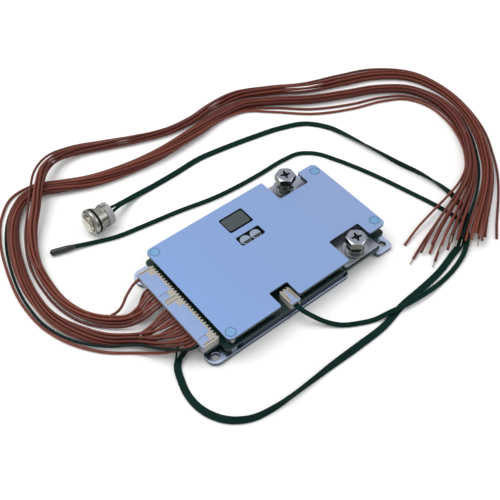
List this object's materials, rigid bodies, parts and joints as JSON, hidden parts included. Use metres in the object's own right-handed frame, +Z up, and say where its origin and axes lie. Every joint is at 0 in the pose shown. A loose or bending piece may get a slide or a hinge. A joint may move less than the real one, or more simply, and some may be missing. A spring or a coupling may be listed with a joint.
{
  "type": "battery management board",
  "caption": "Circuit board stacked between a slotted base plate and a pale cover plate, with bolted terminals, side plugs, a loose wire harness, a flat lead to a push switch and a probe lead.",
  "frame": {"origin": "centre of the underside of the base plate", "axes": "+X along the board from the balance connectors to the bolted terminals, +Y across the board away from the probe connector, +Z up out of the base plate"},
  "size_m": [0.2936, 0.2115, 0.0196],
  "materials": {
    "base_metal": "anodised aluminium sheet",
    "heat_pad": "soft heat conducting pad",
    "spacer_steel": "plated steel",
    "board_laminate": "glass fibre laminate with dark green mask",
    "chip_black": "moulded epoxy",
    "tinned_metal": "tinned copper",
    "inductor_grey": "moulded powder core",
    "can_aluminium": "bare aluminium can",
    "header_nylon": "natural nylon",
    "pin_brass": "tinned brass",
    "plug_nylon": "natural nylon",
    "terminal_metal": "tinned copper plate",
    "bolt_steel": "bright zinc plated steel",
    "standoff_steel": "plated steel",
    "cover_metal": "pale blue satin anodised aluminium sheet",
    "switch_steel": "turned stainless steel",
    "gasket_rubber": "moulded rubber",
    "cap_steel": "polished stainless steel",
    "switch_plastic": "grey moulded plastic",
    "bead_epoxy": "black epoxy",
    "wire_brown": "brown insulated wire",
    "wire_black": "black insulated wire",
    "lead_black": "black ribbed flat lead"
  },
  "bodies": {
    "module": {"base_plate": "base_metal", "base_pad": "heat_pad", "board_spacers": "spacer_steel", "stack_screws": "spacer_steel", "main_board": "board_laminate", "mosfet_bodies": "chip_black", "mosfet_leads": "tinned_metal", "cover_pad": "heat_pad", "shunt_resistors": "tinned_metal", "control_chips": "chip_black", "balance_resistors": "chip_black", "power_inductor": "inductor_grey", "capacitor_bases": "chip_black", "capacitor_cans": "can_aluminium", "header_far": "header_nylon", "header_near": "header_nylon", "header_pins": "pin_brass", "plug_far": "plug_nylon", "plug_near": "plug_nylon", "probe_header": "header_nylon", "probe_plug": "plug_nylon", "switch_header": "header_nylon", "switch_plug": "plug_nylon", "load_terminal": "terminal_metal", "battery_terminal": "terminal_metal", "terminal_nuts": "bolt_steel", "flat_washers": "bolt_steel", "spring_washers": "bolt_steel", "terminal_bolts": "bolt_steel", "cover_standoffs": "standoff_steel", "cover_plate": "cover_metal", "switch_body": "switch_steel", "switch_gasket": "gasket_rubber", "switch_base": "switch_plastic", "probe_bead": "bead_epoxy", "wire_01": "wire_brown", "wire_02": "wire_brown", "wire_03": "wire_brown", "wire_04": "wire_brown", "wire_05": "wire_brown", "wire_06": "wire_brown", "wire_07": "wire_brown", "wire_08": "wire_brown", "wire_09": "wire_brown", "wire_10": "wire_brown", "wire_11": "wire_brown", "wire_12": "wire_brown", "wire_13": "wire_brown", "wire_14": "wire_brown", "wire_15": "wire_brown", "wire_16": "wire_brown", "wire_17": "wire_brown", "wire_18": "wire_brown", "wire_19": "wire_brown", "wire_20": "wire_brown", "wire_21": "wire_brown", "wire_22": "wire_black", "switch_lead": "lead_black", "probe_lead": "lead_black"},
    "button": {"switch_cap": "cap_steel"}
  },
  "joints": [
    {"name": "button_press", "type": "slide", "parent": "module", "child": "button", "axis": [0.9902, 0.1041, -0.0931], "range_m": [0, 0.0015], "stiffness_N_per_m": 800, "springref_m": -0.001}
  ]
}
